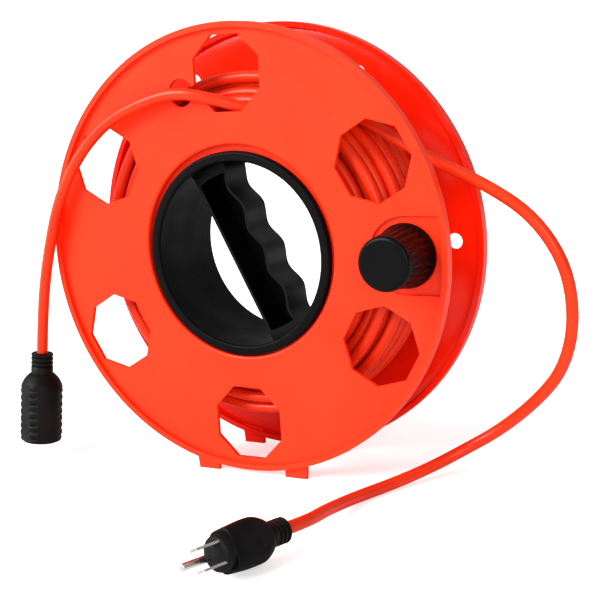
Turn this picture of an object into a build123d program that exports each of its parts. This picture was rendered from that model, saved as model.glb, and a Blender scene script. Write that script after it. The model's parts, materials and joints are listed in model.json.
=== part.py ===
# Extension cord reel: a drum of two flanges that turns around a hub with a handle across it,
# a crank knob on the front flange, and an extension cord with its plug and connector.
# Millimetres, +Z up, front face towards -Y. The drum stands on four feet at Z = 0.
import os
from math import cos, pi, radians, sin, tan

from build123d import *

os.makedirs("parts", exist_ok=True)

# ---- driving dimensions -------------------------------------------------------------------
flange_radius = 160.0
reel_depth = 76.0  # over both rims
plate = 3.0  # flange plate thickness
plate_setback = 3.0  # plate face behind the rim's edge
rim_width = 4.0  # radial
rim_depth = 8.0
dish_inset = 14.0  # where the back flange starts to flare, inside its edge
dish_flare = 2.0

foot_inner = 28.0  # half distance between the feet
foot_width = 17.0
foot_slant = 1.5
foot_drop = 3.4  # below the rim's lowest point

window_count = 6
window_inset = 35.0  # middle of a window, inside the flange's edge
window_radius = 28.6  # circumradius of the octagon
notch_radius = 10.0
notch_x = -38.3
notch_drop = 12.0  # below the top window's middle
notch_neck = 8.8
neck_fillet = 2.0

bore_play = 2.8  # between the hub's lip and its recess
bore_wall = 2.4
bore_round = 2.0
ledge_play = 2.1  # between the hub's neck and the ledge that it turns in
ledge_depth = 8.0  # its front face, behind the rim's edge
ledge = 3.0

barrel_room = 11.6  # from the recess's wall to the outside of the barrel
barrel_wall = 3.0
screw_count = 6
screw_inset = 5.0  # inside the barrel's wall
boss_radius = 4.5
screw_radius = 1.8
screw_head_radius = 3.3
screw_head = 2.4
screw_length = 24.0
peg_inset = 22.0  # six round holes in the back flange, inside its edge
peg_radius = 5.6

hub_drop = 1.8  # the hub rests low in its loose bearing
hub_inner = 66.0
hub_wall = 2.5
lip_width = 4.7  # radial
lip_setback = 2.0
lip = 5.0
lip_fillet = 2.0
ring_depth = 14.0  # lip to seam
lap = 4.0
lap_gap = 0.1

handle_angle = 26.5  # degrees off the vertical
handle_width = 26.0
handle_depth = 28.0
handle_wall = 2.2
handle_end = 7.0
grip_wave = 2.3  # half height of the finger waves
grip_pitch = 33.0
grip_peak = -3.0  # where along the handle a wave crests
fix_radius = 1.6
fix_head_radius = 3.0
fix_head = 1.6
fix_length = 9.0
fix_spread = 12.0  # between the two screws of one end

knob_inset = 31.0  # knob's axis, inside the flange's edge
knob_reach = 33.0  # ahead of the rim's edge
knob_base_radius = 22.0
knob_base = 5.0
knob_root_radius = 20.4
knob_tip_radius = 18.2
knob_cap = 5.0
knob_round = 3.0
knob_foot_round = 2.0
knob_flutes = 24
flute_radius = 1.1
pocket_play = 4.5  # around the knob's base
pocket_depth = 2.0
spindle_radius = 4.0
spindle_head_radius = 7.0
spindle_head = 4.0
spindle_thread = 3.0
washer = 1.0
nut_width = 10.0
nut = 5.0
running = 0.1  # clearance of what turns or slides

cord_radius = 4.2
winding_radius = 128.0
winding_start = 15.5  # behind the rim's edge
winding_gap = 3.5  # ahead of the back flange's plate
seat_gap = 0.2

relief_radius = 8.2
relief_length = 14.5
relief_rib = 2.2
relief_groove = 1.2
groove_depth = 1.3
relief_grooves = 3

plug_length = 41.5
plug_wide = 34.0
plug_thick = 26.0
plug_roll = 62.0  # degrees, blades' row against the floor
# along the plug's body: the share of its length, of its width and of its thickness
plug_shape = [(0, 0.5, 0.65), (0.25, 0.78, 0.88), (0.6, 1.0, 1.0), (1.0, 0.88, 0.94)]
blade_spacing = 12.7
blade_width = 6.35
blade_thick = 1.52
blade_length = 17.5
ground_radius = 2.4
ground_length = 20.6
ground_offset = 11.9
bridge = 6.0
bridge_radius = 11.0
blade_shift = 4.4  # the row of blades, off the plug's axis

connector_radius = 16.2
connector_length = 54.0
connector_relief = 16.0
connector_neck_radius = 9.2
connector_shoulder = 14.0  # where the body is nearly full
connector_full = 24.0  # where it is full
connector_chamfer = 3.0
insert_radius = 12.0
insert = 22.0
slot_width = 7.6
slot_thick = 2.2
socket_radius = 2.6
contact = 9.0
contact_width = 7.4
contact_thick = 4.2
contact_gap = 1.4
ground_contact_radius = 4.2

# ---- cord routes: points chosen along the free cord, from the winding outwards --------------
connector_route = [
    (40.0, -2.0, 250.9),
    (12.0, -8.8, 262.4),
    (-13.0, -21.4, 272.4),
    (-40.0, -25.9, 277.2),
    (-70.0, -26.3, 270.2),
    (-98.0, -26.3, 258.9),
    (-121.0, -26.5, 240.4),
    (-138.0, -26.7, 219.4),
    (-151.0, -26.7, 196.4),
    (-160.5, -27.0, 169.4),
    (-168.0, -27.5, 143.4),
    (-173.3, -28.9, 112.4),
    (-176.0, -30.5, 82.9),
]
plug_route = [
    (70.0, 10.5, 264.6),
    (104.0, 10.5, 243.4),
    (140.0, 10.5, 223.4),
    (178.0, 11.5, 205.9),
    (208.0, 12.5, 185.4),
    (228.0, 14.5, 153.4),
    (231.0, 19.5, 115.4),
    (221.0, 25.5, 81.4),
    (200.0, 31.5, 56.4),
    (171.1, 37.8, 31.7),
    (148.1, 30.0, 18.1),
    (130.0, 14.0, 8.7),
    (114.5, -14.0, 4.4),
    (99.8, -52.9, 4.4),
    (99.1, -95.6, 9.8),
    (102.6, -120.8, 13.4),
    (96.2, -144.2, 14.5),
]

# ---- derived ------------------------------------------------------------------------------
axis_height = flange_radius + foot_drop
hub_height = axis_height - hub_drop
front_y = knob_reach - (reel_depth + knob_reach) / 2  # the front rim's edge
hub_outer = hub_inner + hub_wall
lap_radius = hub_inner + hub_wall / 2
lip_radius = hub_outer + lip_width
ledge_radius = hub_outer + ledge_play
bore_radius = lip_radius + bore_play
collar_radius = bore_radius + bore_wall
barrel_radius = collar_radius + barrel_room
barrel_inner = barrel_radius - barrel_wall
screw_pitch = barrel_inner - screw_inset
plate_back = plate_setback + plate
rim_inner = flange_radius - rim_width
dish_radius = flange_radius - dish_inset
window_pitch = flange_radius - window_inset
peg_pitch = flange_radius - peg_inset
notch_rise = window_pitch - notch_drop
knob_x = flange_radius - knob_inset
pocket_width = 2 * (knob_base_radius + pocket_play)
winding_depth = reel_depth - plate_back - winding_gap - winding_start
middle = reel_depth / 2
handle_front = lip_setback + ring_depth
pocket_floor = plate_setback + pocket_depth
knob_seat = pocket_floor - washer - running


def facing(depth, x=0.0, height=axis_height, turn=0.0):
    """A plane that faces the front, this far behind the front rim's edge."""
    tilt = radians(turn)
    return Plane(origin=(x, front_y + depth, height), x_dir=(cos(tilt), 0, sin(tilt)), z_dir=(0, -1, 0))


def section(height=axis_height):
    """A plane through the reel's axis: X is the depth behind the front rim, Y is the radius."""
    return Plane(origin=(0, front_y, height), x_dir=(0, 1, 0), z_dir=(1, 0, 0))


def ring(near, far, inner, outer):
    """A rectangle of a ring's section, between two depths and two radii."""
    with Locations(((near + far) / 2, (inner + outer) / 2)):
        Rectangle(far - near, outer - inner)


def mirrored(near, far, inner, outer):
    """The same rectangle, seen from the back of the reel."""
    ring(reel_depth - far, reel_depth - near, inner, outer)


reel_axis = Axis((0, 0, axis_height), (0, 1, 0))
hub_axis = Axis((0, 0, hub_height), (0, 1, 0))


def foot(side):
    """One foot's outline, from inside the rim down to the floor."""
    Polygon(
        (side * foot_inner, -rim_inner + rim_width),
        (side * foot_inner, -axis_height),
        (side * (foot_inner + foot_width), -axis_height),
        (side * (foot_inner + foot_width + foot_slant), -rim_inner + 2 * rim_width),
        align=None,
    )


def flange_section(place):
    """Rim, lip recess, ledge and half the barrel, placed for the front or the back."""
    place(0, rim_depth, rim_inner, flange_radius)
    place(plate_back, ledge_depth + ledge, bore_radius, collar_radius)
    place(ledge_depth, ledge_depth + ledge, ledge_radius, collar_radius)
    place(plate_setback, middle, barrel_inner, barrel_radius)


def pocket_shape(width):
    """The knob's pocket, round on the inside and open to the rim."""
    with Locations((knob_x, 0)):
        Circle(width / 2)
    with Locations(((knob_x + flange_radius) / 2, 0)):
        Rectangle(flange_radius - knob_x, width)
    Circle(rim_inner + rim_width / 2, mode=Mode.INTERSECT)


def screw_places():
    return PolarLocations(screw_pitch, screw_count, start_angle=360 / screw_count / 2)


# ---- front flange -------------------------------------------------------------------------
with BuildPart() as front_flange:
    with BuildSketch(facing(plate_back)):
        Circle(rim_inner + rim_width / 2)
        Circle(bore_radius, mode=Mode.SUBTRACT)
    extrude(amount=plate)
    fillet(front_flange.edges().group_by(Axis.Y)[0].sort_by(SortBy.RADIUS)[0], radius=bore_round)
    # the knob's pocket is let into the plate, over a pad behind it
    with BuildSketch(facing(pocket_floor + plate)):
        pocket_shape(pocket_width + 2 * plate)
    extrude(amount=plate)
    with BuildSketch(facing(pocket_floor)):
        pocket_shape(pocket_width)
    extrude(amount=pocket_depth, mode=Mode.SUBTRACT)
    with BuildSketch(facing(pocket_floor + plate)):
        with Locations((knob_x, 0)):
            Circle(spindle_thread + running)
    extrude(amount=plate, mode=Mode.SUBTRACT)
    with BuildSketch(facing(plate_back)):
        with PolarLocations(window_pitch, window_count, start_angle=-90):
            RegularPolygon(window_radius, 8, rotation=22.5)
        with Locations((notch_x, notch_rise)):
            Circle(notch_radius)
        with Locations((notch_x / 2, notch_rise)):
            Rectangle(-notch_x, notch_neck)
    extrude(amount=plate, mode=Mode.SUBTRACT)
    # the notch's neck is rounded where it meets the window
    notch_height = axis_height + notch_rise
    neck_edges = front_flange.edges().filter_by(Axis.Y).filter_by(
        lambda e: notch_x < e.center().X < 0 and abs(abs(e.center().Z - notch_height) - notch_neck / 2) < 0.01
    )
    fillet(neck_edges.sort_by(Axis.X)[-2:], radius=neck_fillet)
    with BuildSketch(section()):
        flange_section(ring)
    revolve(axis=reel_axis)
    with BuildSketch(facing(plate_back)):
        foot(1)
        foot(-1)
    extrude(amount=plate)
    with BuildSketch(facing(middle)):
        with screw_places():
            Circle(boss_radius)
    extrude(amount=middle - plate_setback)
    with BuildSketch(facing(middle)):
        with screw_places():
            Circle(screw_radius)
    extrude(amount=screw_length / 2, mode=Mode.SUBTRACT)
front_flange.part.label = "front_flange"

# ---- back flange --------------------------------------------------------------------------
with BuildPart() as back_flange:
    with BuildSketch(section()):
        flange_section(mirrored)
        mirrored(plate_setback, plate_back, bore_radius, dish_radius)
        with BuildLine():
            Polyline(
                (reel_depth - plate_back, dish_radius),
                (reel_depth - plate_setback, dish_radius),
                (reel_depth - plate_setback + dish_flare, rim_inner),
                (reel_depth - plate_back + dish_flare, rim_inner),
                close=True,
            )
        make_face()
    revolve(axis=reel_axis)
    with BuildSketch(facing(reel_depth - plate_setback)):
        foot(1)
        foot(-1)
    extrude(amount=plate)
    with BuildSketch(facing(reel_depth - plate_setback)):
        with screw_places():
            Circle(boss_radius)
    extrude(amount=middle - plate_setback)
    with BuildSketch(facing(reel_depth)):
        with PolarLocations(peg_pitch, window_count):
            Circle(peg_radius)
    extrude(amount=rim_depth, mode=Mode.SUBTRACT)
    with BuildSketch(facing(reel_depth - plate_setback)):
        with screw_places():
            Circle(screw_radius + running)
    extrude(amount=middle - plate_setback, mode=Mode.SUBTRACT)
    with BuildSketch(facing(reel_depth - plate_setback)):
        with screw_places():
            Circle(screw_head_radius + running)
    extrude(amount=middle - plate_setback - screw_length / 2, mode=Mode.SUBTRACT)
back_flange.part.label = "back_flange"

# ---- screws that hold the two halves of the drum together -----------------------------------
screw_seat = middle + screw_length / 2
with BuildPart() as drum_screws:
    with BuildSketch(facing(screw_seat)):
        with screw_places():
            Circle(screw_radius)
    extrude(amount=screw_length)
    with BuildSketch(facing(screw_seat + screw_head)):
        with screw_places():
            Circle(screw_head_radius)
    extrude(amount=screw_head)
drum_screws.part.label = "drum_screws"

# ---- hub: two lipped rings lapped onto a core tube, and the handle across it ------------------


def hub_ring(place):
    """A ring's section: the lip, its neck and the lap that goes over the core."""
    place(lip_setback, lip_setback + lip, hub_inner, lip_radius)
    place(lip_setback, handle_front, hub_inner, hub_outer)
    place(handle_front, handle_front + lap - lap_gap, lap_radius + lap_gap, hub_outer)


with BuildPart() as hub_front_ring:
    with BuildSketch(section(hub_height)):
        hub_ring(ring)
    revolve(axis=hub_axis)
    fillet(hub_front_ring.edges().group_by(Axis.Y)[0], radius=lip_fillet)
hub_front_ring.part.label = "hub_front_ring"

with BuildPart() as hub_rear_ring:
    with BuildSketch(section(hub_height)):
        hub_ring(mirrored)
    revolve(axis=hub_axis)
    fillet(hub_rear_ring.edges().group_by(Axis.Y)[-1], radius=lip_fillet)
hub_rear_ring.part.label = "hub_rear_ring"


def handle_fixings():
    """The four places of the handle's screws: depth behind the front rim, and up or down."""
    centre = handle_front + handle_depth / 2
    return [(centre + side * fix_spread / 2, end) for side in (-1, 1) for end in (-1, 1)]


def radial(depth, end, radius):
    """A plane square to the handle, this far from the hub's axis, facing outwards."""
    lean = radians(handle_angle)
    out = (-end * sin(lean), 0, end * cos(lean))
    return Plane(
        origin=(out[0] * radius, front_y + depth, hub_height + out[2] * radius), x_dir=(0, 1, 0), z_dir=out
    )


with BuildPart() as hub_core:
    with BuildSketch(section(hub_height)):
        ring(handle_front, reel_depth - handle_front, hub_inner, lap_radius)
        ring(handle_front + lap, reel_depth - handle_front - lap, hub_inner, hub_outer)
    revolve(axis=hub_axis)
    for depth, end in handle_fixings():
        with BuildSketch(radial(depth, end, hub_inner - hub_wall)):
            Circle(fix_radius + running)
        extrude(amount=3 * hub_wall, mode=Mode.SUBTRACT)
hub_core.part.label = "hub_core"

half_width = handle_width / 2
handle_back = handle_front + handle_depth
wave_steps = 4  # points in one finger wave
wave_points = [
    (
        half_width + grip_wave * cos(2 * pi * step / wave_steps),
        grip_peak + grip_pitch * step / wave_steps,
    )
    for step in range(-2 * wave_steps - 2, 2 * wave_steps + 3)
]
with BuildPart() as hub_handle:
    with BuildSketch(facing(handle_back, height=hub_height, turn=handle_angle)) as grip:
        with BuildLine():
            waves = Spline(*wave_points)
            Polyline(waves @ 1, (-half_width, (waves @ 1).Y), (-half_width, (waves @ 0).Y), waves @ 0)
        make_face()
        Circle(hub_inner, mode=Mode.INTERSECT)
    extrude(amount=handle_depth)
    with BuildSketch(facing(handle_back - handle_wall, height=hub_height, turn=handle_angle)):
        with BuildLine():
            inner_waves = Spline(*[(x - handle_wall, y) for x, y in wave_points])
            Polyline(
                inner_waves @ 1,
                (-half_width + handle_wall, (inner_waves @ 1).Y),
                (-half_width + handle_wall, (inner_waves @ 0).Y),
                inner_waves @ 0,
            )
        make_face()
        Circle(hub_inner - handle_end, mode=Mode.INTERSECT)
    extrude(amount=handle_depth, mode=Mode.SUBTRACT)
    for depth, end in handle_fixings():
        with BuildSketch(radial(depth, end, hub_outer - fix_length)):
            Circle(fix_radius)
        extrude(amount=fix_length, mode=Mode.SUBTRACT)
hub_handle.part.label = "hub_handle"

with BuildPart() as handle_screws:
    for depth, end in handle_fixings():
        with BuildSketch(radial(depth, end, hub_outer - fix_length)):
            Circle(fix_radius)
        extrude(amount=fix_length)
        with BuildSketch(radial(depth, end, hub_outer)):
            Circle(fix_head_radius)
        extrude(amount=fix_head)
handle_screws.part.label = "handle_screws"

# ---- crank knob on its spindle ----------------------------------------------------------------
knob_axis = Axis((knob_x, 0, axis_height), (0, 1, 0))


def knob_section():
    """X is the depth behind the front rim's edge, Y is the radius about the knob's axis."""
    return Plane(origin=(knob_x, front_y, axis_height), x_dir=(0, 1, 0), z_dir=(1, 0, 0))


cap_back = knob_cap - knob_reach
flute_length = knob_seat - knob_base - cap_back
flute_start = flute_radius / flute_length  # a share of the grip's length, clear of the base


def flute_plane(turn):
    """A plane at the foot of one flute, which leans inwards with the knob's taper."""
    out = Vector(cos(radians(turn)), 0, sin(radians(turn)))
    along = Vector(0, -flute_length, 0) + out * (knob_tip_radius - knob_root_radius)
    foot_point = Vector(knob_x, front_y + knob_seat - knob_base, axis_height) + out * knob_root_radius
    return Plane(origin=foot_point + along * flute_start, x_dir=out.cross(along), z_dir=along)


head_front = cap_back + running
shelf = head_front + spindle_head + running
with BuildPart() as knob_grip:
    with BuildSketch(knob_section()):
        with BuildLine():
            Polyline(
                (knob_seat, spindle_radius + running),
                (knob_seat, knob_base_radius),
                (knob_seat - knob_base, knob_root_radius),
                (cap_back, knob_tip_radius),
                (cap_back, spindle_head_radius + running),
                (shelf, spindle_head_radius + running),
                (shelf, spindle_radius + running),
                close=True,
            )
        make_face()
    revolve(axis=knob_axis)
    fillet(knob_grip.edges().group_by(Axis.Y)[-1].sort_by(SortBy.RADIUS)[-1], radius=knob_foot_round)
    with BuildSketch(*[flute_plane(360 * number / knob_flutes) for number in range(knob_flutes)]):
        Circle(flute_radius)
    extrude(amount=flute_length + knob_cap, mode=Mode.SUBTRACT)
knob_grip.part.label = "knob_grip"

with BuildPart() as knob_front_cap:
    with BuildSketch(knob_section()):
        with BuildLine():
            Polyline(
                (-knob_reach, 0),
                (-knob_reach, knob_tip_radius),
                (cap_back, knob_tip_radius),
                (cap_back, 0),
                close=True,
            )
        make_face()
    revolve(axis=knob_axis)
    fillet(knob_front_cap.edges().group_by(Axis.Y)[0], radius=knob_round)
knob_front_cap.part.label = "knob_cap"

with BuildPart() as knob_spindle:
    with BuildSketch(knob_section()):
        ring(head_front, head_front + spindle_head, 0, spindle_head_radius)
        ring(head_front + spindle_head, pocket_floor, 0, spindle_radius)
        ring(pocket_floor, pocket_floor + plate + nut + plate, 0, spindle_thread)
    revolve(axis=knob_axis)
knob_spindle.part.label = "knob_spindle"

with BuildPart() as knob_washer:
    with BuildSketch(facing(pocket_floor, x=knob_x)):
        Circle(2 * spindle_radius)
        Circle(spindle_radius + running, mode=Mode.SUBTRACT)
    extrude(amount=washer)
knob_washer.part.label = "knob_washer"

with BuildPart() as knob_nut:
    with BuildSketch(facing(pocket_floor + plate + nut, x=knob_x)):
        RegularPolygon(nut_width / 2, 6, major_radius=False)
        Circle(spindle_thread, mode=Mode.SUBTRACT)
    extrude(amount=nut)
knob_nut.part.label = "knob_nut"

# ---- cord -------------------------------------------------------------------------------------
with BuildPart() as cord_winding:
    with BuildSketch(section()):
        ring(winding_start, winding_start + winding_depth, barrel_radius + seat_gap, winding_radius)
    revolve(axis=reel_axis)
    outer_edges = cord_winding.edges().filter_by(GeomType.CIRCLE).sort_by(SortBy.RADIUS)[-2:]
    fillet(outer_edges, radius=1.5 * cord_radius)
cord_winding.part.label = "cord_winding"


def bend_radii(points):
    """The radius at each corner: 0.45 of the shorter run, over the tangent of half the turn."""
    corners = [Vector(*p) for p in points]
    radii = []
    for before, here, after in zip(corners, corners[1:], corners[2:]):
        run_in, run_out = here - before, after - here
        half_turn = radians(run_in.get_angle(run_out)) / 2
        radii.append(0.45 * min(run_in.length, run_out.length) / tan(half_turn))
    return radii


def cord_tube(points):
    """Straight runs joined by tangent arcs, swept with the cord's round section."""
    with BuildPart() as tube:
        with BuildLine() as path:
            FilletPolyline(*points, radius=bend_radii(points))
        with BuildSketch(Plane(origin=path.line @ 0, z_dir=path.line % 0)):
            Circle(cord_radius)
        sweep()
    print("bend radii", [round(radius) for radius in bend_radii(points)])
    length = sum(edge.length for edge in path.edges())
    ratio = tube.part.volume / (pi * cord_radius**2 * length)
    print("tube length", round(length, 1), "volume over section times length", round(ratio, 4))
    return tube


cord_connector_lead = cord_tube(connector_route)
cord_connector_lead.part.label = "cord_connector_lead"
cord_plug_lead = cord_tube(plug_route)
cord_plug_lead.part.label = "cord_plug_lead"


def end_direction(points):
    return (Vector(*points[-1]) - Vector(*points[-2])).normalized()


def relief_section(length):
    """Half a strain relief's section with its grooves: X is the radius, Y runs along the cord."""
    with Locations((relief_radius / 2, length / 2)):
        Rectangle(relief_radius, length)
    pitch = relief_rib + relief_groove
    grooves = [relief_rib + relief_groove / 2 + pitch * number for number in range(relief_grooves)]
    with Locations(*[(relief_radius, height) for height in grooves]):
        Rectangle(2 * groove_depth, relief_groove, mode=Mode.SUBTRACT)


# ---- plug: it lies on the floor, turned on its side -------------------------------------------
plug_out = end_direction(plug_route)
floor_side = plug_out.cross(Vector(0, 0, 1)).normalized()
plug_row = floor_side.rotate(Axis((0, 0, 0), plug_out), -plug_roll)


def plug_plane(along):
    """A plane square to the plug's axis, its X along the row of blades."""
    origin = Vector(*plug_route[-1]) + plug_out * along
    return Plane(origin=origin, x_dir=plug_row, z_dir=plug_out)


plug_face = relief_length + plug_length
plug_axis = Axis(plug_route[-1], plug_out)
with BuildPart() as plug_relief:
    with BuildSketch(Plane(origin=plug_route[-1], x_dir=plug_row, z_dir=plug_row.cross(plug_out))):
        relief_section(relief_length)
    revolve(axis=plug_axis)
plug_relief.part.label = "plug_relief"

with BuildPart() as plug_body:
    for share, wide, thick in plug_shape:
        with BuildSketch(plug_plane(relief_length + share * plug_length)):
            Ellipse(wide * plug_wide / 2, thick * plug_thick / 2)
    loft()
    with BuildSketch(plug_plane(plug_face - bridge)):
        Circle(bridge_radius)
    extrude(amount=bridge, mode=Mode.SUBTRACT)
plug_body.part.label = "plug_body"

with BuildPart() as plug_bridge:
    with BuildSketch(plug_plane(plug_face - bridge)):
        Circle(bridge_radius)
        with Locations((blade_spacing / 2, -blade_shift), (-blade_spacing / 2, -blade_shift)):
            Rectangle(blade_thick, blade_width, mode=Mode.SUBTRACT)
        with Locations((0, ground_offset - blade_shift)):
            Circle(ground_radius, mode=Mode.SUBTRACT)
    extrude(amount=bridge)
plug_bridge.part.label = "plug_bridge"


def blade(side):
    with BuildPart() as made:
        with BuildSketch(plug_plane(plug_face - bridge)):
            with Locations((side * blade_spacing / 2, -blade_shift)):
                Rectangle(blade_thick, blade_width)
        extrude(amount=bridge + blade_length)
        chamfer(made.faces().sort_by(plug_axis)[-1].edges(), length=blade_thick / 4)
    return made


plug_line_blade = blade(1)
plug_line_blade.part.label = "plug_line_blade"
plug_neutral_blade = blade(-1)
plug_neutral_blade.part.label = "plug_neutral_blade"

with BuildPart() as plug_ground_pin:
    with BuildSketch(plug_plane(plug_face - bridge)):
        with Locations((0, ground_offset - blade_shift)):
            Circle(ground_radius)
    extrude(amount=bridge + ground_length)
    fillet(plug_ground_pin.edges().sort_by(plug_axis)[-1], radius=ground_radius / 2)
plug_ground_pin.part.label = "plug_ground_pin"

# ---- connector: it hangs from its lead --------------------------------------------------------
connector_out = end_direction(connector_route)
connector_axis = Axis(connector_route[-1], connector_out)
connector_row = connector_out.cross(Vector(0, 1, 0)).normalized()


def connector_plane(along):
    """A plane square to the connector's axis, its X along the row of slots."""
    origin = Vector(*connector_route[-1]) + connector_out * along
    return Plane(origin=origin, x_dir=connector_row, z_dir=connector_out)


connector_face = connector_relief + connector_length
with BuildPart() as connector_strain_relief:
    with BuildSketch(
        Plane(origin=connector_route[-1], x_dir=connector_row, z_dir=connector_row.cross(connector_out))
    ):
        relief_section(connector_relief)
    revolve(axis=connector_axis)
connector_strain_relief.part.label = "connector_relief"

with BuildPart() as connector_body:
    for along, radius in [
        (0, connector_neck_radius),
        (connector_shoulder, 0.94 * connector_radius),
        (connector_full, connector_radius),
    ]:
        with BuildSketch(connector_plane(connector_relief + along)):
            Circle(radius)
    loft()
    with BuildSketch(connector_plane(connector_relief + connector_full)):
        Circle(connector_radius)
    extrude(amount=connector_length - connector_full)
    chamfer(connector_body.edges().sort_by(connector_axis)[-1], length=connector_chamfer)
    with BuildSketch(connector_plane(connector_face - insert)):
        Circle(insert_radius)
    extrude(amount=insert, mode=Mode.SUBTRACT)
connector_body.part.label = "connector_body"

slot_places = [(blade_spacing / 2, -blade_shift), (-blade_spacing / 2, -blade_shift)]
socket_place = (0, ground_offset - blade_shift)
with BuildPart() as connector_insert:
    with BuildSketch(connector_plane(connector_face - insert)):
        Circle(insert_radius)
        with Locations(*slot_places):
            Rectangle(slot_thick, slot_width, mode=Mode.SUBTRACT)
        with Locations(socket_place):
            Circle(socket_radius, mode=Mode.SUBTRACT)
    extrude(amount=insert)
    with BuildSketch(connector_plane(connector_face - insert)):
        with Locations(*slot_places):
            Rectangle(contact_thick + seat_gap, contact_width + seat_gap)
        with Locations(socket_place):
            Circle(ground_contact_radius + seat_gap)
    extrude(amount=contact, mode=Mode.SUBTRACT)
connector_insert.part.label = "connector_insert"


def slot_contact(place):
    with BuildPart() as made:
        with BuildSketch(connector_plane(connector_face - insert)):
            with Locations(place):
                Rectangle(contact_thick, contact_width)
                Rectangle(contact_gap, contact_width, mode=Mode.SUBTRACT)
        extrude(amount=contact)
        with BuildSketch(connector_plane(connector_face - insert)):
            with Locations(place):
                Rectangle(contact_thick, contact_width)
        extrude(amount=contact_gap)
    return made


connector_line_contact = slot_contact(slot_places[0])
connector_line_contact.part.label = "connector_line_contact"
connector_neutral_contact = slot_contact(slot_places[1])
connector_neutral_contact.part.label = "connector_neutral_contact"

with BuildPart() as connector_ground_contact:
    with BuildSketch(connector_plane(connector_face - insert)):
        with Locations(socket_place):
            Circle(ground_contact_radius)
            Circle(socket_radius, mode=Mode.SUBTRACT)
    extrude(amount=contact)
connector_ground_contact.part.label = "connector_ground_contact"

# ---- one STEP file for each piece -------------------------------------------------------------
pieces = [
    front_flange, back_flange, drum_screws,
    hub_front_ring, hub_core, hub_rear_ring, hub_handle, handle_screws,
    knob_grip, knob_front_cap, knob_spindle, knob_washer, knob_nut,
    cord_winding, cord_connector_lead, cord_plug_lead,
    plug_relief, plug_body, plug_bridge, plug_line_blade, plug_neutral_blade, plug_ground_pin,
    connector_strain_relief, connector_body, connector_insert,
    connector_line_contact, connector_neutral_contact, connector_ground_contact,
]
for piece in pieces:
    export_step(piece.part, f"parts/{piece.part.label}.step")
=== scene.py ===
import json
from math import atan2, cos, hypot, pi, radians, sin
from random import Random

import bpy
import numpy as np
from mathutils import Matrix, Vector


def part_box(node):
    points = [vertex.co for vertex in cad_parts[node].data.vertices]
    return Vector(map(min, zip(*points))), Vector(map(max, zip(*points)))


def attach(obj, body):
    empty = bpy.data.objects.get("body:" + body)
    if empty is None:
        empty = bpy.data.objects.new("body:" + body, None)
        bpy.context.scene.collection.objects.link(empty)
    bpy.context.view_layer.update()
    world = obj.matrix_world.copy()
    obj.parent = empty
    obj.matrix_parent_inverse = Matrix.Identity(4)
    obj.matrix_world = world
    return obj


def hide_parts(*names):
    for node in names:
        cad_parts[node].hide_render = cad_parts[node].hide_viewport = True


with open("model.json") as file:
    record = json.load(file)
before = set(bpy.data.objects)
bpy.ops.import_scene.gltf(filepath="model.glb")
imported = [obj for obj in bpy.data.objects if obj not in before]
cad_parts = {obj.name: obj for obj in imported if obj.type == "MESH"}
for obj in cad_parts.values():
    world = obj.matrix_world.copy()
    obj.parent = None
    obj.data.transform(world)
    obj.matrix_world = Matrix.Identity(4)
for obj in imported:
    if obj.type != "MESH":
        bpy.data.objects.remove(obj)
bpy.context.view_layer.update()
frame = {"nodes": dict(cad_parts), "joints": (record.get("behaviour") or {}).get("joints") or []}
print("frame loaded:", len(frame["nodes"]), "nodes")

# the knob's axis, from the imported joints, is as high as the reel's
jointPlaces = {joint["name"]: Vector(joint["pos_m"]) for joint in frame["joints"]}
knobPlace = jointPlaces["knob_spin"]
reelHeight = knobPlace.z


# the camera
cameraView = {
    "place": (0.4594, -0.7690, 0.2897),
    "turnDegrees": (79.462, 3.263, 28.112),
    "lens": 75.2,
    "sensor": 36,
}


def placeCamera():
    bpy.ops.object.camera_add(
        location=cameraView["place"], rotation=[radians(angle) for angle in cameraView["turnDegrees"]]
    )
    camera = bpy.context.object
    camera.data.lens = cameraView["lens"]
    camera.data.sensor_width = cameraView["sensor"]
    bpy.context.scene.camera = camera


placeCamera()
print("camera placed")


# small helpers
def clearSelection():
    if bpy.context.object and bpy.context.object.mode != "OBJECT":
        bpy.ops.object.mode_set(mode="OBJECT")
    bpy.ops.object.select_all(action="DESELECT")


def pick(piece):
    clearSelection()
    piece.select_set(True)
    bpy.context.view_layer.objects.active = piece


def applyModifiers(piece):
    pick(piece)
    for modifier in list(piece.modifiers):
        bpy.ops.object.modifier_apply(modifier=modifier.name)


def settle(piece):
    # the place goes into the mesh, and the object stays at the origin
    pick(piece)
    bpy.ops.object.transform_apply(location=True, rotation=True, scale=True)


def smooth(piece, degrees=40):
    pick(piece)
    bpy.ops.object.shade_smooth_by_angle(angle=radians(degrees))


def facesOut(piece):
    pick(piece)
    bpy.ops.object.mode_set(mode="EDIT")
    bpy.ops.mesh.select_all(action="SELECT")
    bpy.ops.mesh.normals_make_consistent(inside=False)
    bpy.ops.object.mode_set(mode="OBJECT")


def dress(piece, name, body, material):
    piece.name = name
    piece.data.name = name
    piece.data.materials.clear()
    piece.data.materials.append(material)
    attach(piece, body)


def turned(profile, sides):
    # a ring of the first radius is extruded and resized for each (radius, along) of the profile
    clearSelection()
    radius, along = profile[0]
    bpy.ops.mesh.primitive_circle_add(
        vertices=sides, radius=radius, fill_type="NOTHING", location=(0, 0, 0)
    )
    piece = bpy.context.object
    bpy.ops.object.mode_set(mode="EDIT")
    bpy.ops.mesh.select_all(action="SELECT")
    bpy.ops.transform.translate(value=(0, 0, along))
    bpy.ops.mesh.edge_face_add()
    for nextRadius, nextAlong in profile[1:]:
        bpy.ops.mesh.extrude_region_move(TRANSFORM_OT_translate={"value": (0, 0, nextAlong - along)})
        share = nextRadius / radius
        bpy.ops.transform.resize(value=(share, share, 1), center_override=(0, 0, nextAlong))
        radius, along = nextRadius, nextAlong
    bpy.ops.mesh.edge_face_add()
    bpy.ops.mesh.select_all(action="DESELECT")
    bpy.ops.object.mode_set(mode="OBJECT")
    return piece


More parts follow.
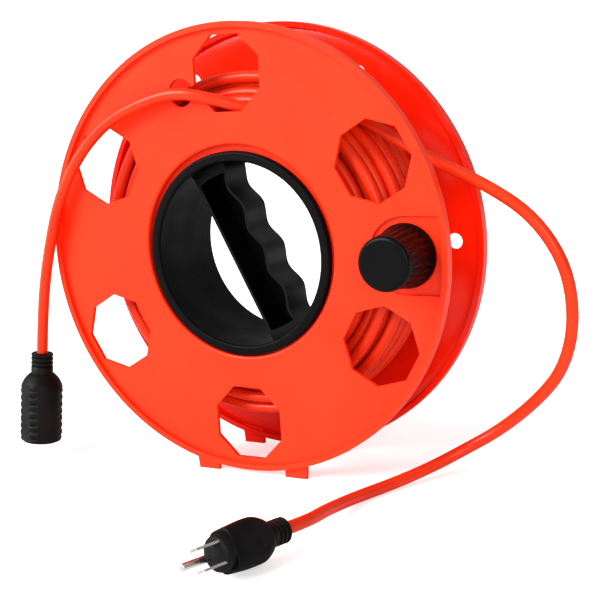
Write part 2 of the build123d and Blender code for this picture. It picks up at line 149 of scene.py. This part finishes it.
def standAlong(piece, place, axis, across=None):
    # turns the piece's Z to the axis, and its X to the across direction if there is one
    axis = Vector(axis).normalized()
    if across is None:
        turn = axis.to_track_quat("Z", "Y").to_matrix()
    else:
        side = Vector(across).normalized()
        turn = Matrix((side, axis.cross(side), axis)).transposed()
    piece.matrix_world = Matrix.Translation(Vector(place)) @ turn.to_4x4()
    settle(piece)


def roundedCopy(node, edge, segments=2, sharp=28, flat=0.6):
    # a copy of the node with its doubles merged, its flat faces joined and its edges rounded
    clearSelection()
    original = frame["nodes"][node]
    piece = original.copy()
    piece.data = original.data.copy()
    for key in list(piece.keys()):
        del piece[key]
    piece.parent = None
    bpy.context.scene.collection.objects.link(piece)
    pick(piece)
    bpy.ops.object.mode_set(mode="EDIT")
    bpy.ops.mesh.select_all(action="SELECT")
    bpy.ops.mesh.remove_doubles(threshold=0.00001)
    bpy.ops.mesh.dissolve_limited(angle_limit=radians(flat))
    bpy.ops.object.mode_set(mode="OBJECT")
    bevel = piece.modifiers.new("edges", "BEVEL")
    bevel.width = edge
    bevel.segments = segments
    bevel.limit_method = "ANGLE"
    bevel.angle_limit = radians(sharp)
    bevel.use_clamp_overlap = True
    applyModifiers(piece)
    smooth(piece)
    # wide flat faces decide the shading, so that the plates look flat
    shading = piece.modifiers.new("shading", "WEIGHTED_NORMAL")
    shading.keep_sharp = True
    shading.weight = 100
    applyModifiers(piece)
    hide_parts(node)
    return piece


# materials: every pattern reads Object coordinates, in metres
noiseRange = (0.3, 0.7)  # the noise values that get the darkest and the lightest colour


def newMaterial(name, colour, roughness, metallic=0.0):
    material = bpy.data.materials.new(name)
    material.use_nodes = True
    shader = material.node_tree.nodes["Principled BSDF"]
    shader.inputs["Base Color"].default_value = (*colour, 1)
    shader.inputs["Roughness"].default_value = roughness
    shader.inputs["Metallic"].default_value = metallic
    return material, material.node_tree, shader


def addNode(tree, kind, **settings):
    node = tree.nodes.new(kind)
    for key, value in settings.items():
        setattr(node, key, value)
    return node


def addNoise(tree, scale, detail=3.0, stretch=(1, 1, 1), rough=0.5):
    coordinates = addNode(tree, "ShaderNodeTexCoord")
    mapping = addNode(tree, "ShaderNodeMapping")
    mapping.inputs["Scale"].default_value = stretch
    noise = addNode(tree, "ShaderNodeTexNoise")
    noise.inputs["Scale"].default_value = scale
    noise.inputs["Detail"].default_value = detail
    noise.inputs["Roughness"].default_value = rough
    tree.links.new(coordinates.outputs["Object"], mapping.inputs["Vector"])
    tree.links.new(mapping.outputs["Vector"], noise.inputs["Vector"])
    return noise.outputs["Fac"]


def blendColours(tree, factor, dark, light):
    ramp = addNode(tree, "ShaderNodeValToRGB")
    ramp.color_ramp.elements[0].position = noiseRange[0]
    ramp.color_ramp.elements[0].color = (*dark, 1)
    ramp.color_ramp.elements[1].position = noiseRange[1]
    ramp.color_ramp.elements[1].color = (*light, 1)
    tree.links.new(factor, ramp.inputs["Fac"])
    return ramp.outputs["Color"]


def spreadValue(tree, factor, low, high):
    spread = addNode(tree, "ShaderNodeMapRange")
    spread.inputs["From Min"].default_value = noiseRange[0]
    spread.inputs["From Max"].default_value = noiseRange[1]
    spread.inputs["To Min"].default_value = low
    spread.inputs["To Max"].default_value = high
    tree.links.new(factor, spread.inputs["Value"])
    return spread.outputs["Result"]


def addBump(tree, shader, height, strength, distance, under=None):
    bump = addNode(tree, "ShaderNodeBump")
    bump.inputs["Strength"].default_value = strength
    bump.inputs["Distance"].default_value = distance
    tree.links.new(height, bump.inputs["Height"])
    if under is not None:
        tree.links.new(under, bump.inputs["Normal"])
    tree.links.new(bump.outputs["Normal"], shader.inputs["Normal"])
    return bump.outputs["Normal"]


def mouldedPlastic(name, dark, light, rough, grain, cloud=14.0, shine=0.3, rings=0):
    # slow clouds of colour, uneven gloss (rough: least, most), and the mould's fine grain (scale, depth)
    material, tree, shader = newMaterial(name, light, rough[1])
    shader.inputs["Specular IOR Level"].default_value = shine
    tree.links.new(blendColours(tree, addNoise(tree, cloud), dark, light), shader.inputs["Base Color"])
    gloss = addNoise(tree, cloud * 3, detail=5)
    tree.links.new(spreadValue(tree, gloss, *rough), shader.inputs["Roughness"])
    waves = addBump(tree, shader, addNoise(tree, cloud * 2, detail=1), 0.25, 0.0006)
    if rings:  # fine turning marks around the hub's axis
        marks = addNoise(tree, rings, detail=2, stretch=(0.02, 1, 0.02))
        waves = addBump(tree, shader, marks, 0.5, 0.0003, under=waves)
    grainScale, grainDepth = grain
    addBump(tree, shader, addNoise(tree, grainScale, detail=2), 0.35, grainDepth, under=waves)
    return material


def plainMetal(name, dark, light, rough, stretch):
    # drawn metal: fine lines along the stretched axis
    material, tree, shader = newMaterial(name, light, rough[1], metallic=1.0)
    lines = addNoise(tree, 900, detail=4, stretch=stretch)
    tree.links.new(blendColours(tree, addNoise(tree, 220), dark, light), shader.inputs["Base Color"])
    tree.links.new(spreadValue(tree, lines, *rough), shader.inputs["Roughness"])
    addBump(tree, shader, lines, 0.2, 0.00005)
    return material


deepBlacks = ((0.002, 0.002, 0.002), (0.004, 0.004, 0.004))
finishes = {
    "flange": mouldedPlastic(
        "orangePlastic", (0.93, 0.036, 0.006), (1.0, 0.045, 0.008), (0.34, 0.46), (1500, 0.00006)
    ),
    # the back flange: the same orange plastic, glossier, with its colour darkened as painted shade for its
    # inner face
    "shadedGlossyFlange": mouldedPlastic(
        "glossyShadedOrange", (0.80, 0.018, 0.003), (0.90, 0.024, 0.004), (0.16, 0.26), (1500, 0.00003)
    ),
    "hub": mouldedPlastic(
        "texturedBlack", *deepBlacks, (0.44, 0.58), (1300, 0.00025), shine=0.12, rings=420
    ),
    "handle": mouldedPlastic("handleBlack", *deepBlacks, (0.28, 0.40), (1500, 0.00008), shine=0.22),
    "knob": mouldedPlastic("knobBlack", *deepBlacks, (0.28, 0.40), (1500, 0.00010), shine=0.16),
    # the cord's own orange, darkened below the flange's as painted shade for the shadow between the wound
    # turns
    "cord": mouldedPlastic(
        "shadedOrangeVinyl", (0.70, 0.034, 0.004), (0.82, 0.046, 0.006), (0.26, 0.38), (1100, 0.00008),
        cloud=30.0, shine=0.35,
    ),
    "vinyl": mouldedPlastic(
        "blackVinyl", (0.004, 0.004, 0.004), (0.009, 0.009, 0.009), (0.42, 0.58), (1400, 0.00015),
        cloud=40.0, shine=0.16,
    ),
    "insert": mouldedPlastic(
        "insertBlack", (0.005, 0.005, 0.005), (0.010, 0.010, 0.010), (0.5, 0.65), (1600, 0.00010),
        cloud=60.0, shine=0.2,
    ),
    "nickel": plainMetal("nickelPlate", (0.55, 0.54, 0.52), (0.78, 0.77, 0.75), (0.16, 0.30), (1, 1, 0.1)),
    "brass": plainMetal("contactBrass", (0.55, 0.36, 0.12), (0.80, 0.58, 0.25), (0.25, 0.40), (1, 1, 0.1)),
    "steel": plainMetal("zincSteel", (0.42, 0.42, 0.43), (0.62, 0.62, 0.63), (0.28, 0.42), (1, 0.1, 1)),
}
print("materials made:", len(finishes))


# cords: the wound cord with its plug lead, and the connector's lead
cordFacts = {"radius": 0.0042, "roundness": 5, "smoothness": 5}
connectorRoute = [
    (0.0400, -0.0020, 0.2509),
    (0.0120, -0.0088, 0.2624),
    (-0.0130, -0.0214, 0.2724),
    (-0.0400, -0.0259, 0.2772),
    (-0.0700, -0.0263, 0.2702),
    (-0.0980, -0.0263, 0.2589),
    (-0.1210, -0.0265, 0.2404),
    (-0.1380, -0.0267, 0.2194),
    (-0.1510, -0.0267, 0.1964),
    (-0.1605, -0.0270, 0.1694),
    (-0.1680, -0.0275, 0.1434),
    (-0.1733, -0.0289, 0.1124),
    (-0.1760, -0.0305, 0.0829),
]
plugRoute = [
    (0.0700, 0.0105, 0.2646),
    (0.1040, 0.0105, 0.2434),
    (0.1400, 0.0105, 0.2234),
    (0.1780, 0.0115, 0.2059),
    (0.2080, 0.0125, 0.1854),
    (0.2280, 0.0145, 0.1534),
    (0.2310, 0.0195, 0.1154),
    (0.2210, 0.0255, 0.0814),
    (0.2000, 0.0315, 0.0564),
    (0.1711, 0.0378, 0.0317),
    (0.1481, 0.0300, 0.0181),
    (0.1300, 0.0140, 0.0087),
    (0.1145, -0.0140, 0.0044),
    (0.0998, -0.0529, 0.0044),
    (0.0991, -0.0956, 0.0098),
    (0.1026, -0.1208, 0.0134),
    (0.0962, -0.1442, 0.0145),
]
winding = {
    "turns": 20,
    "pointsPerTurn": 20,
    "innerRadius": 0.0950,
    "outerRadius": 0.1232,
    "front": -0.0014,
    "back": 0.0404,
    "layers": 4,
    "gap": 0.0088,  # the least distance between the turns' middles
    "wanderAcross": 0.0050,
    "wanderOut": 0.0032,
    "easing": 260,
    "seed": 11,
    "waves": 9,
    "firstRate": 0.35,  # waves per turn of the slowest wander
    "rateStep": 0.23,
    "leastWave": 0.4,  # the smallest share of its size that a wave may draw
    "evening": 0.25,  # how far a point moves towards the middle of its neighbours
    "push": 0.32,  # how much of an overlap each of two turns gives way
}


def windingPlan():
    # where each point of the coil would lie in neat layers, plus a slow wander along the cord
    start, end = Vector(connectorRoute[0]), Vector(plugRoute[0])
    startTurn = atan2(start.z - reelHeight, start.x)
    endTurn = atan2(end.z - reelHeight, end.x)
    angle = 2 * pi * winding["turns"] + startTurn - endTurn
    count = round(winding["turns"] * winding["pointsPerTurn"] * angle / (2 * pi * winding["turns"]))
    share = np.linspace(0, 1, count + 1)
    layer = share * winding["layers"]
    level = np.floor(np.minimum(layer, winding["layers"] - 0.001))
    along = layer - level
    across = np.where(level % 2 == 0, along, 1 - along)
    spread = winding["outerRadius"] - winding["innerRadius"]
    out = winding["innerRadius"] + spread * level / (winding["layers"] - 1)
    depth = winding["front"] + (winding["back"] - winding["front"]) * across
    draw = Random(winding["seed"])
    turns = share * angle / (2 * pi)
    for wave in range(winding["waves"]):
        rate = winding["firstRate"] + winding["rateStep"] * wave
        for values, wander in ((depth, winding["wanderAcross"]), (out, winding["wanderOut"])):
            size = wander / 2 * draw.uniform(winding["leastWave"], 1)
            values += size * np.sin(2 * pi * (rate * turns + draw.random()))
    return startTurn - share * angle, out, depth, start, end


def windCoil():
    # eases the points apart until no two turns lie in each other, and keeps the cord's bends gentle
    turn, out, depth, start, end = windingPlan()
    each = winding["pointsPerTurn"]
    firstOut = hypot(start.x, start.z - reelHeight)
    lastOut = hypot(end.x, end.z - reelHeight)
    for _ in range(winding["easing"]):
        for values in (out, depth):
            values[1:-1] += winding["evening"] * (values[:-2] + values[2:] - 2 * values[1:-1])
        for first in range(each):
            place = np.arange(first, len(out), each)
            apartOut = out[place][:, None] - out[place][None, :]
            apartDepth = depth[place][:, None] - depth[place][None, :]
            distance = np.sqrt(apartOut**2 + apartDepth**2) + np.eye(len(place))
            overlap = np.maximum(winding["gap"] - distance, 0) * (1 - np.eye(len(place)))
            push = overlap * winding["push"] / distance
            out[place] += (push * apartOut).sum(1)
            depth[place] += (push * apartDepth).sum(1)
        out[:] = np.clip(out, winding["innerRadius"], winding["outerRadius"])
        depth[:] = np.clip(depth, winding["front"], winding["back"])
        out[0], depth[0], out[-1], depth[-1] = firstOut, start.y, lastOut, end.y
    return [
        (radius * cos(angle), along, reelHeight + radius * sin(angle))
        for angle, radius, along in zip(turn.tolist(), out.tolist(), depth.tolist())
    ]


def layCord(name, points):
    curve = bpy.data.curves.new(name, "CURVE")
    curve.dimensions = "3D"
    spline = curve.splines.new("NURBS")
    spline.points.add(len(points) - 1)
    for point, place in zip(spline.points, points):
        point.co = (*place, 1)
    spline.order_u = 3
    spline.use_endpoint_u = True
    curve.resolution_u = cordFacts["smoothness"]
    curve.bevel_depth = cordFacts["radius"]
    curve.bevel_resolution = cordFacts["roundness"]
    curve.use_fill_caps = True
    cord = bpy.data.objects.new(name, curve)
    bpy.context.scene.collection.objects.link(cord)
    curve.materials.append(finishes["cord"])
    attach(cord, "drum")
    return cord


coilPoints = windCoil()
woundCord = layCord("woundCord", coilPoints[:-1] + plugRoute)
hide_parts("cord_winding", "cord_plug_lead")
connectorCord = layCord("connectorCord", connectorRoute)
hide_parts("cord_connector_lead")
print("cords laid:", len(coilPoints), "points in the coil")


# flanges and hub: the frame's own shapes with rounded edges
roundedPieces = {
    # node: piece, edge in metres, body, slot, finish
    "front_flange": ("frontFlange", 0.0006, "drum", "flange_plastic", "flange"),
    "back_flange": ("backFlange", 0.0006, "drum", "flange_plastic", "shadedGlossyFlange"),
    "hub_front_ring": ("hubFrontRing", 0.0004, "hub", "hub_plastic", "hub"),
    "hub_core": ("hubTube", 0.0003, "hub", "hub_plastic", "hub"),
    "hub_rear_ring": ("hubRearRing", 0.0004, "hub", "hub_plastic", "hub"),
    "hub_handle": ("hubHandle", 0.0005, "hub", "hub_plastic", "handle"),
}
for node, (name, edge, body, slot, finish) in roundedPieces.items():
    dress(roundedCopy(node, edge), name, body, finishes[finish])
print("flanges and hub rounded")


# crank knob: a flared foot, a fluted grip and a smooth cap
knob = {
    "sides": 168,
    "flutes": 24,
    "footProfile": [(0.0217, 0), (0.0220, 0.0003), (0.0220, 0.0012), (0.0216, 0.0024), (0.0209, 0.0040)],
    "gripStart": (0.0204, 0.0052),
    "gripEnd": (0.0184, 0.0312),
    "rings": 12,
    "shoulder": (0.0180, 0.0319),
    "fluteDepth": 0.062,  # a share of the grip's radius
    "fluteForm": (1.0, 0.82, 0.30),  # shares of that depth, from a flute's middle outwards
    "fluteStart": 0.0005,  # past the grip's first ring
    "fluteOver": 0.0001,  # past its last
    "capRadius": 0.0183,
    "capRound": 0.0030,
    "capSteps": 6,
    "capDish": 0.0003,
    "capDishForm": ((0.7, 1), (0.3, 1.5)),  # share of the flat's radius, share of the dish
    "capEase": 0.0004,
    "capSides": 96,
}


def fluteGrip(piece):
    # around each flute's middle, rows of points are drawn in towards the axis
    each = knob["sides"] // knob["flutes"]
    low, high = knob["gripStart"][1] + knob["fluteStart"], knob["gripEnd"][1] + knob["fluteOver"]
    rows = [(0, 1)] + [(away, side) for away in range(1, len(knob["fluteForm"])) for side in (1, -1)]
    for away, side in rows:
        pick(piece)
        bpy.ops.object.mode_set(mode="EDIT")
        bpy.ops.mesh.select_all(action="DESELECT")
        bpy.ops.object.mode_set(mode="OBJECT")
        for vertex in piece.data.vertices:
            turn = atan2(vertex.co.y, vertex.co.x) / (2 * pi) * knob["sides"]
            vertex.select = round(turn) % each == side * away % each and low < vertex.co.z < high
        bpy.ops.object.mode_set(mode="EDIT")
        shrink = 1 - knob["fluteDepth"] * knob["fluteForm"][away]
        bpy.ops.transform.resize(value=(shrink, shrink, 1), center_override=(0, 0, 0))
        bpy.ops.object.mode_set(mode="OBJECT")


def buildKnob():
    seat = Vector((knobPlace.x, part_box("knob_grip")[1][1], knobPlace.z))
    (firstRadius, first), (lastRadius, last) = knob["gripStart"], knob["gripEnd"]
    rings = knob["rings"]
    grip = [
        (firstRadius + (lastRadius - firstRadius) * i / rings, first + (last - first) * i / rings)
        for i in range(rings + 1)
    ]
    gripPiece = turned(knob["footProfile"] + grip + [knob["shoulder"]], knob["sides"])
    fluteGrip(gripPiece)
    standAlong(gripPiece, seat, (0, -1, 0))
    facesOut(gripPiece)
    smooth(gripPiece, 50)
    dress(gripPiece, "knobGrip", "knob", finishes["knob"])
    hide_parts("knob_grip")

    bottom = knob["shoulder"][1]
    top = seat.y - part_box("knob_cap")[0][1]
    flat, curve = knob["capRadius"] - knob["capRound"], knob["capRound"]
    ease = knob["capEase"]
    profile = [(knob["capRadius"] - ease, bottom), (knob["capRadius"], bottom + ease)]
    for i in range(knob["capSteps"] + 1):
        turn = pi / 2 * i / knob["capSteps"]
        profile.append((flat + curve * cos(turn), top - curve + curve * sin(turn)))
    profile += [(share * flat, top - part * knob["capDish"]) for share, part in knob["capDishForm"]]
    capPiece = turned(profile, knob["capSides"])
    standAlong(capPiece, seat, (0, -1, 0))
    facesOut(capPiece)
    smooth(capPiece, 50)
    dress(capPiece, "knobCap", "knob", finishes["knob"])
    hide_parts("knob_cap")


buildKnob()
print("knob built")


# strain reliefs of the plug and the connector
relief = {
    "cordHole": 0.0044,
    "lip": 0.0006,
    "rib": 0.0022,
    "groove": 0.0012,
    "depth": 0.0013,
    "grooves": 3,
    "sides": 64,
}
blankRadius = 0.0100  # a body's radius before it takes its form


def reliefProfile(radius, length):
    # a rounded rim round the cord, then ribs with grooves between them
    lip, deep = relief["lip"], radius - relief["depth"]
    soft, slope = 0.3 * lip, 0.5 * lip
    profile = [(relief["cordHole"], lip), (radius - 2 * lip, 0), (radius - lip, 0.1 * lip), (radius, lip)]
    along = relief["rib"]
    for _ in range(relief["grooves"]):
        profile += [(radius, along - soft), (radius - soft, along), (deep, along + slope)]
        along += relief["groove"]
        profile += [(deep, along - slope), (radius - soft, along), (radius, along + soft)]
        along += relief["rib"]
    return profile + [(radius, length)]


def routeEnd(route):
    last, previous = Vector(route[-1]), Vector(route[-2])
    return last, (last - previous).normalized()


# plug: a squarish body with a thumb pad on each broad face, and a round bridge for the pins
plug = {
    "roll": -62,
    "reliefRadius": 0.0082,
    "reliefLength": 0.0145,
    "sides": 72,
    # along the body: place, half width, half thickness, how square the section is
    "stations": [
        (0.0000, 0.0084, 0.0082, 2.0),
        (0.0010, 0.0096, 0.0090, 2.3),
        (0.0030, 0.0108, 0.0094, 3.0),
        (0.0080, 0.0131, 0.0099, 4.0),
        (0.0115, 0.0142, 0.0103, 4.0),
        (0.0130, 0.0144, 0.0105, 4.0),
        (0.0180, 0.0145, 0.0107, 4.0),
        (0.0230, 0.0142, 0.0107, 4.0),
        (0.0280, 0.0138, 0.0106, 4.0),
        (0.0325, 0.0134, 0.0105, 4.0),
        (0.0340, 0.0132, 0.0104, 4.0),
        (0.0345, 0.0126, 0.0100, 3.8),
        (0.0343, 0.0114, 0.0096, 3.0),
        (0.0338, 0.0098, 0.0092, 2.0),
    ],
    "padPlace": 0.0150,
    "padRadius": 0.0085,
    "padDepth": 0.0009,
    "padFace": 0.6,  # a pad lies where the face is at least this share of the half thickness out
    "padReach": 1.15,  # from here on, shares of the pad's radius or depth
    "padRing": 0.95,
    "padRingWidth": 0.2,
    "padRingDepth": 0.6,
    "padDishDepth": 0.5,
    "bridgeRadius": 0.0110,
    "bridgeRound": 0.0018,
    "bridgeEnd": 0.0415,
    "bridgeSides": 64,
}


def mouldPlugBody(piece):
    # each ring takes its station's section, and the two broad faces get a round thumb pad
    stations = plug["stations"]
    sides = plug["sides"]
    for number, vertex in enumerate(piece.data.vertices):
        along, halfWidth, halfThick, square = stations[number // sides]
        turn = atan2(vertex.co.y, vertex.co.x)
        wide = abs(cos(turn)) ** (2 / square) * halfWidth * (1 if cos(turn) > 0 else -1)
        thick = abs(sin(turn)) ** (2 / square) * halfThick * (1 if sin(turn) > 0 else -1)
        off = hypot(wide, along - plug["padPlace"]) / plug["padRadius"]
        if abs(thick) > plug["padFace"] * halfThick and off < plug["padReach"]:
            ring = max(0.0, 1 - abs(off - plug["padRing"]) / plug["padRingWidth"]) * plug["padRingDepth"]
            dish = max(0.0, 1 - off**2) * plug["padDishDepth"]
            thick -= (ring + dish) * plug["padDepth"] * (1 if thick > 0 else -1)
        vertex.co = (wide, thick, along)


def buildPlug():
    seat, out = routeEnd(plugRoute)
    floorSide = out.cross(Vector((0, 0, 1))).normalized()
    row = Matrix.Rotation(radians(plug["roll"]), 3, out) @ floorSide
    reliefPiece = turned(reliefProfile(plug["reliefRadius"], plug["reliefLength"]), relief["sides"])
    body = turned([(blankRadius, station[0]) for station in plug["stations"]], plug["sides"])
    mouldPlugBody(body)
    subdivision = body.modifiers.new("finer", "SUBSURF")
    subdivision.levels = 1
    subdivision.render_levels = 1
    applyModifiers(body)
    radius, curve, top = plug["bridgeRadius"], plug["bridgeRound"], plug["bridgeEnd"]
    start = plug["stations"][-1][0]
    profile = [(radius, start), (radius, top - curve), (radius - 0.3 * curve, top - 0.3 * curve)]
    profile += [(radius - curve, top), (0.3 * radius, top)]
    bridge = turned(profile, plug["bridgeSides"])
    bodySeat = seat + out * plug["reliefLength"]
    pieces = [
        (reliefPiece, "plugRelief", "plug_relief", seat, "vinyl", "plug_vinyl"),
        (body, "plugBody", "plug_body", bodySeat, "vinyl", "plug_vinyl"),
        (bridge, "plugBridge", "plug_bridge", bodySeat, "insert", "insert_plastic"),
    ]
    for piece, name, node, place, finish, slot in pieces:
        standAlong(piece, place, out, row)
        facesOut(piece)
        smooth(piece, 45)
        dress(piece, name, "drum", finishes[finish])
        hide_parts(node)
    return [piece[0] for piece in pieces]


# connector: a bottle-shaped body with four rows of grip ribs and two flats
connector = {
    "reliefRadius": 0.0084,
    "reliefLength": 0.0160,
    "sides": 96,
    "rings": 90,
    "length": 0.0540,
    "neck": 0.0088,
    "full": 0.0162,
    "shoulder": 0.0130,
    "endRound": 0.0040,
    "ribPitch": 0.0056,
    "ribDepth": 0.0016,
    "ribStart": 0.0110,
    "ribTurns": (-24, 82, 156, 262),  # degrees round the axis from the slots' row
    "ribWide": 22,
    "flatTurns": (112, 292),
    "flatDepth": 0.0009,
    "flatReach": 34,  # degrees to each side of a flat's middle
    "flatEdge": 26,  # degrees at which it would meet the round
    "flatStart": 0.6,  # a share of the shoulder
    "flatEase": 0.0006,
    "neckPower": 0.9,
    "endDepth": 0.55,
    "ribEnd": 0.6,  # a share of the end's round
    "ribFade": 4,
    "ribForm": 0.7,
}


def connectorRadius(along, turn):
    if along < connector["shoulder"]:
        rise = along / connector["shoulder"]
        swell = (rise * (2 - rise)) ** connector["neckPower"]
        radius = connector["neck"] + (connector["full"] - connector["neck"]) * swell
    else:
        radius = connector["full"]
    left = connector["length"] - along
    if left < connector["endRound"]:
        fall = 1 - (1 - (1 - left / connector["endRound"]) ** 2) ** 0.5
        radius -= connector["endRound"] * connector["endDepth"] * fall
    for centre in connector["ribTurns"]:
        away = abs((turn - centre + 180) % 360 - 180)
        reach = max(0.0, 1 - (away / connector["ribWide"]) ** connector["ribFade"])
        if along > connector["ribStart"] and left > connector["endRound"] * connector["ribEnd"]:
            beat = pi * (along - connector["ribStart"]) / connector["ribPitch"]
            wave = abs(sin(beat)) ** connector["ribForm"]
            radius -= connector["ribDepth"] * (1 - wave) * reach
    for centre in connector["flatTurns"]:
        away = abs((turn - centre + 180) % 360 - 180)
        if away < connector["flatReach"] and along > connector["flatStart"] * connector["shoulder"]:
            flat = (connector["full"] - connector["flatDepth"]) * cos(radians(connector["flatEdge"]))
            radius = min(radius, flat / cos(radians(away)) + connector["flatEase"])
    return radius


def buildConnector():
    seat, out = routeEnd(connectorRoute)
    row = out.cross(Vector((0, 1, 0))).normalized()
    reliefPiece = turned(
        reliefProfile(connector["reliefRadius"], connector["reliefLength"]), relief["sides"]
    )
    rings = connector["rings"]
    profile = [(blankRadius, connector["length"] * i / rings) for i in range(rings + 1)]
    body = turned(profile, connector["sides"])
    for vertex in body.data.vertices:
        turn = atan2(vertex.co.y, vertex.co.x)
        radius = connectorRadius(vertex.co.z, turn * 180 / pi)
        vertex.co.x, vertex.co.y = radius * cos(turn), radius * sin(turn)
    bodySeat = seat + out * connector["reliefLength"]
    pieces = [
        (reliefPiece, "connectorRelief", "connector_relief", seat),
        (body, "connectorBody", "connector_body", bodySeat),
    ]
    for piece, name, node, place in pieces:
        standAlong(piece, place, out, row)
        facesOut(piece)
        smooth(piece, 45)
        dress(piece, name, "drum", finishes["vinyl"])
        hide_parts(node)
    return [piece[0] for piece in pieces]


plugPieces = buildPlug()
connectorPieces = buildConnector()
print("plug and connector built")


# nodes that keep their own shape
keptNodes = {
    "steel": ["drum_screws", "handle_screws", "knob_spindle", "knob_washer", "knob_nut"],
    "nickel": ["plug_line_blade", "plug_neutral_blade", "plug_ground_pin"],
    "brass": ["connector_line_contact", "connector_neutral_contact", "connector_ground_contact"],
    "insert": ["connector_insert"],
}
for finish, names in keptNodes.items():
    for name in names:
        node = frame["nodes"][name]
        node.data.materials.clear()
        node.data.materials.append(finishes[finish])

# the floor and the light
studio = {
    "floorSize": 40.0,
    "floorColour": (0.9, 0.9, 0.9),
    "floorGlow": 0.45,  # for the camera only: it lifts the shadows on the ground
    "worldColour": (1.0, 1.0, 1.0),
    "worldStrength": 0.42,
    "skyStrength": 1.0,  # what the camera itself sees
    "keyFrom": (-0.55, -0.75, 0.62),
    "keyPower": 3.2,
    "keySoftness": 40,  # degrees
    "look": "Medium High Contrast",
}
lamps = [
    # place, what it looks at, size, power
    ((1.2, -1.6, 0.7), (0, 0, 0.16), 0.9, 9),
    ((-1.5, -0.6, 0.5), (-0.1, 0, 0.1), 0.8, 4),
]


def buildStudio():
    clearSelection()
    bpy.ops.mesh.primitive_plane_add(size=studio["floorSize"], location=(0, 0, 0))
    floor = bpy.context.object
    floor.name = "floor"
    material, tree, shader = newMaterial("floorPaint", studio["floorColour"], 0.9)
    shader.inputs["Specular IOR Level"].default_value = 0.0
    shader.inputs["Emission Color"].default_value = (1, 1, 1, 1)
    seen = addNode(tree, "ShaderNodeLightPath")
    glow = addNode(tree, "ShaderNodeMath", operation="MULTIPLY")
    glow.inputs[1].default_value = studio["floorGlow"]
    tree.links.new(seen.outputs["Is Camera Ray"], glow.inputs[0])
    tree.links.new(glow.outputs["Value"], shader.inputs["Emission Strength"])
    floor.data.materials.append(material)
    world = bpy.data.worlds.new("paleRoom")
    world.use_nodes = True
    background = world.node_tree.nodes["Background"]
    background.inputs["Color"].default_value = (*studio["worldColour"], 1)
    background.inputs["Strength"].default_value = studio["worldStrength"]
    sky = addNode(world.node_tree, "ShaderNodeBackground")
    sky.inputs["Color"].default_value = (*studio["worldColour"], 1)
    sky.inputs["Strength"].default_value = studio["skyStrength"]
    rays = addNode(world.node_tree, "ShaderNodeLightPath")
    mixed = addNode(world.node_tree, "ShaderNodeMixShader")
    tree = world.node_tree
    tree.links.new(rays.outputs["Is Camera Ray"], mixed.inputs["Fac"])
    tree.links.new(background.outputs["Background"], mixed.inputs[1])
    tree.links.new(sky.outputs["Background"], mixed.inputs[2])
    tree.links.new(mixed.outputs["Shader"], tree.nodes["World Output"].inputs["Surface"])
    bpy.context.scene.world = world
    bpy.context.scene.view_settings.view_transform = "Standard"
    bpy.context.scene.view_settings.look = studio["look"]
    bpy.ops.object.light_add(type="SUN", location=studio["keyFrom"])
    key = bpy.context.object
    key.data.energy = studio["keyPower"]
    key.data.angle = radians(studio["keySoftness"])
    key.rotation_euler = (-Vector(studio["keyFrom"])).to_track_quat("-Z", "Y").to_euler()
    for place, aim, size, power in lamps:
        bpy.ops.object.light_add(type="AREA", location=place)
        lamp = bpy.context.object
        lamp.data.shape = "DISK"
        lamp.data.size = size
        lamp.data.energy = power
        lamp.rotation_euler = (Vector(aim) - Vector(place)).to_track_quat("-Z", "Y").to_euler()


buildStudio()
print("studio built")
